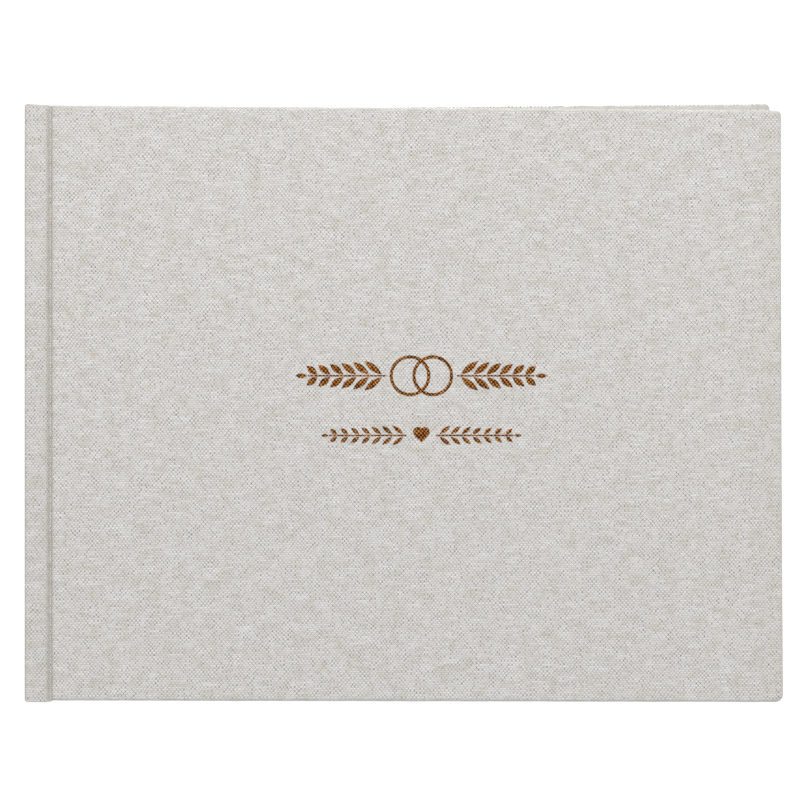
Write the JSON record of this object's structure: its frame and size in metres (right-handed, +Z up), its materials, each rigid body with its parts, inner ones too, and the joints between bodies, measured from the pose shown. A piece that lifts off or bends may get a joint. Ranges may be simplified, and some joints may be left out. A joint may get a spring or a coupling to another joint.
{
  "type": "wedding guest book",
  "caption": "Landscape case-bound guest book in linen-covered boards with a square spine, pressed joints, sewn blank leaves and a foil ornament on the front.",
  "frame": {"origin": "middle of the closed book's footprint, on the face of the back cover that it lies on", "axes": "+X from the spine to the fore-edge, +Y from the tail to the head, +Z up through the thickness to the front cover"},
  "size_m": [0.28, 0.2233, 0.0211],
  "materials": {
    "linen_cloth": "coarse plain-weave linen bookcloth, matt, off-white with fawn flecks",
    "greyboard": "uncoated grey millboard",
    "endpaper": "smooth ivory endpaper, matt",
    "page_paper": "uncoated off-white writing paper",
    "kraft_liner": "brown kraft paper",
    "mull_gauze": "open starched cotton gauze",
    "linen_thread": "waxed linen thread",
    "band_silk": "silk-wound band in cream and fawn stripes",
    "copper_foil": "hot-stamped copper foil, broken up by the weave"
  },
  "bodies": {
    "back_cover": {"back_board": "greyboard", "back_cloth": "linen_cloth", "back_pastedown": "endpaper"},
    "text_block": {"spine_board": "greyboard", "spine_cloth": "linen_cloth", "spine_liner": "kraft_liner", "mull": "mull_gauze", "sewing_thread": "linen_thread", "headband": "band_silk", "tailband": "band_silk", "section_3": "page_paper", "section_4": "page_paper", "section_5": "page_paper", "section_6": "page_paper", "section_7": "page_paper", "section_8": "page_paper"},
    "front_cover": {"front_board": "greyboard", "front_cloth": "linen_cloth", "front_pastedown": "endpaper", "foil_ornament": "copper_foil"},
    "turning_front_flyleaf": {"front_flyleaf": "endpaper"},
    "turning_section_1": {"section_1": "page_paper"},
    "turning_section_2": {"section_2": "page_paper"},
    "turning_leaf_1": {"leaf_1": "page_paper"},
    "turning_leaf_2": {"leaf_2": "page_paper"},
    "turning_leaf_3": {"leaf_3": "page_paper"},
    "turning_leaf_4": {"leaf_4": "page_paper"},
    "turning_leaf_5": {"leaf_5": "page_paper"},
    "turning_back_flyleaf": {"back_flyleaf": "endpaper"}
  },
  "joints": [
    {"name": "back_hinge", "type": "hinge", "parent": "back_cover", "child": "text_block", "pos_m": [-0.14, 0, 0], "axis": [0, 1, 0], "range_deg": [-90, 0]},
    {"name": "front_hinge", "type": "hinge", "parent": "text_block", "child": "front_cover", "pos_m": [-0.14, 0, 0.021], "axis": [0, -1, 0], "range_deg": [0, 179]},
    {"name": "front_flyleaf_turn", "type": "hinge", "parent": "text_block", "child": "turning_front_flyleaf", "pos_m": [-0.14, 0, 0.021], "axis": [0, -1, 0], "range_deg": [0, 178.48]},
    {"name": "section_1_turn", "type": "hinge", "parent": "text_block", "child": "turning_section_1", "pos_m": [-0.14, 0, 0.021], "axis": [0, -1, 0], "range_deg": [0, 177.41]},
    {"name": "section_2_turn", "type": "hinge", "parent": "text_block", "child": "turning_section_2", "pos_m": [-0.14, 0, 0.021], "axis": [0, -1, 0], "range_deg": [0, 176.16]},
    {"name": "leaf_1_turn", "type": "hinge", "parent": "text_block", "child": "turning_leaf_1", "pos_m": [-0.14, 0, 0.021], "axis": [0, -1, 0], "range_deg": [0, 172.93]},
    {"name": "leaf_2_turn", "type": "hinge", "parent": "text_block", "child": "turning_leaf_2", "pos_m": [-0.14, 0, 0.021], "axis": [0, -1, 0], "range_deg": [0, 143.4]},
    {"name": "leaf_3_turn", "type": "hinge", "parent": "text_block", "child": "turning_leaf_3", "pos_m": [-0.14, 0, 0.021], "axis": [0, -1, 0], "range_deg": [0, 105.81]},
    {"name": "leaf_4_turn", "type": "hinge", "parent": "text_block", "child": "turning_leaf_4", "pos_m": [-0.14, 0, 0.021], "axis": [0, -1, 0], "range_deg": [0, 66.43]},
    {"name": "leaf_5_turn", "type": "hinge", "parent": "text_block", "child": "turning_leaf_5", "pos_m": [-0.14, 0, 0.021], "axis": [0, -1, 0], "range_deg": [0, 28.84]},
    {"name": "back_flyleaf_turn", "type": "hinge", "parent": "text_block", "child": "turning_back_flyleaf", "pos_m": [-0.14, 0, 0], "axis": [0, 1, 0], "range_deg": [0, 79.4]}
  ],
  "couplings": [
    {"joint": "front_flyleaf_turn", "follows": "front_hinge", "ratio": 0.996},
    {"joint": "section_1_turn", "follows": "front_hinge", "ratio": 0.99},
    {"joint": "section_2_turn", "follows": "front_hinge", "ratio": 0.983},
    {"joint": "leaf_1_turn", "follows": "front_hinge", "ratio": 0.965},
    {"joint": "leaf_2_turn", "follows": "front_hinge", "ratio": 0.8},
    {"joint": "leaf_3_turn", "follows": "front_hinge", "ratio": 0.59},
    {"joint": "leaf_4_turn", "follows": "front_hinge", "ratio": 0.37},
    {"joint": "leaf_5_turn", "follows": "front_hinge", "ratio": 0.16},
    {"joint": "back_flyleaf_turn", "follows": "back_hinge", "ratio": -0.88}
  ]
}
